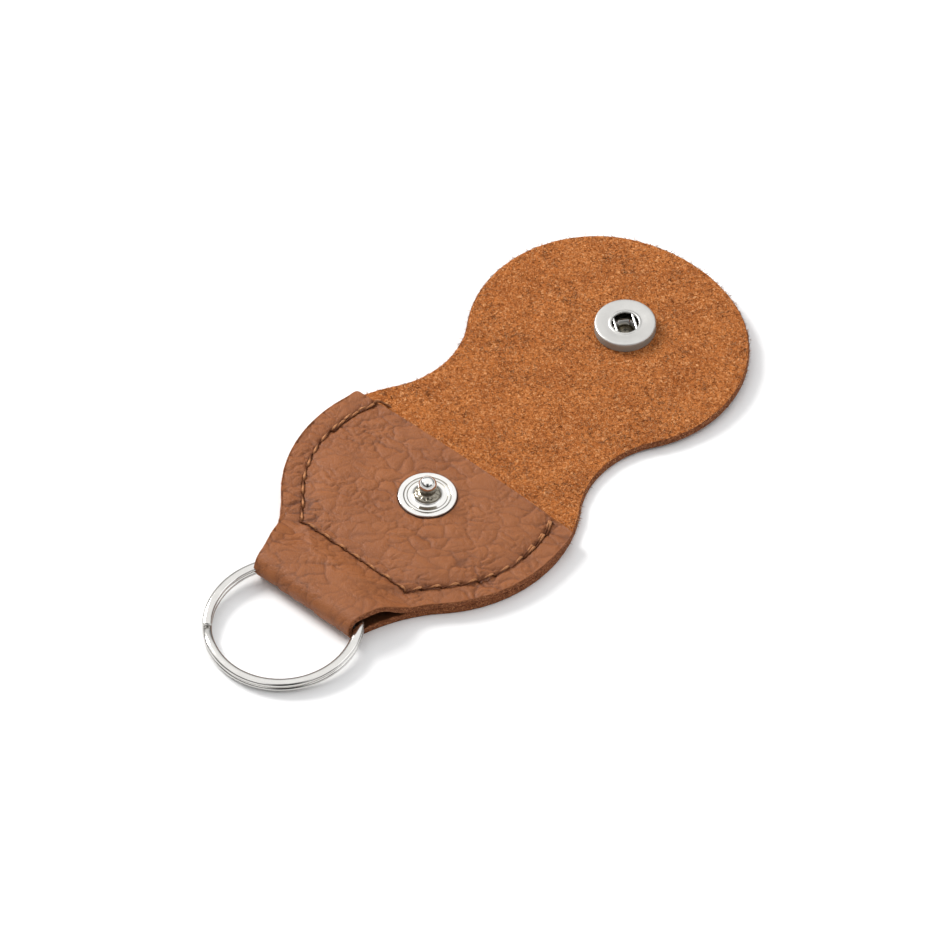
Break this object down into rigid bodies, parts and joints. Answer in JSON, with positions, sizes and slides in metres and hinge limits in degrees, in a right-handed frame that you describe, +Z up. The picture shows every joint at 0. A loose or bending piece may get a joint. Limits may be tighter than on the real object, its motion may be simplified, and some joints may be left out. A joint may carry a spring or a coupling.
{
  "type": "key-ring pick holder",
  "caption": "Folded leather pocket for guitar picks with a round snap flap, lying open, on a split key ring",
  "frame": {"origin": "on the flat back face of the pocket, on the leather outline's centreline, level with the snap stud", "axes": "+Y along the strip from the ring to the open flap's end, +Z up from the table, +X to the right of someone looking along +Y"},
  "size_m": [0.0508, 0.1201, 0.0074],
  "materials": {
    "grain_leather": "pebbled grain, low sheen",
    "suede_leather": "napped flesh side outside the fold, grain side underneath",
    "sewing_thread": "twisted polyester thread",
    "bright_nickel": "bright plated",
    "satin_nickel": "satin plated"
  },
  "bodies": {
    "pocket": {"back_panel": "suede_leather", "front_panel": "grain_leather", "needle_thread": "sewing_thread", "bobbin_thread": "sewing_thread", "stud": "bright_nickel", "stud_post": "satin_nickel"},
    "loop": {"ring_loop": "grain_leather"},
    "ring": {"split_ring": "bright_nickel"},
    "fold": {"fold_strip": "suede_leather"},
    "flap": {"flap": "suede_leather", "snap_cap": "bright_nickel", "socket_shell": "satin_nickel", "socket_plate": "satin_nickel", "socket_spring": "bright_nickel"}
  },
  "joints": [
    {"name": "neck_flex", "type": "hinge", "parent": "pocket", "child": "loop", "pos_m": [0, -0.0198, 0.0023], "axis": [-1, 0, 0], "range_deg": [-25, 25], "stiffness_Nm_per_rad": 0.01},
    {"name": "ring_turn", "type": "hinge", "parent": "loop", "child": "ring", "pos_m": [0.0006, -0.0358, 0.00186], "axis": [0, -0.0593, 0.9982], "continuous": true},
    {"name": "flap_fold", "type": "hinge", "parent": "pocket", "child": "fold", "pos_m": [0, 0.0237, 0.0015], "axis": [1, 0, 0], "range_deg": [0, 89]},
    {"name": "flap_roll", "type": "hinge", "parent": "fold", "child": "flap", "pos_m": [0, 0.0279, 0.00157], "axis": [1, 0, 0], "range_deg": [0, 89]}
  ],
  "couplings": [
    {"joint": "flap_fold", "follows": "flap_roll", "ratio": 1}
  ]
}
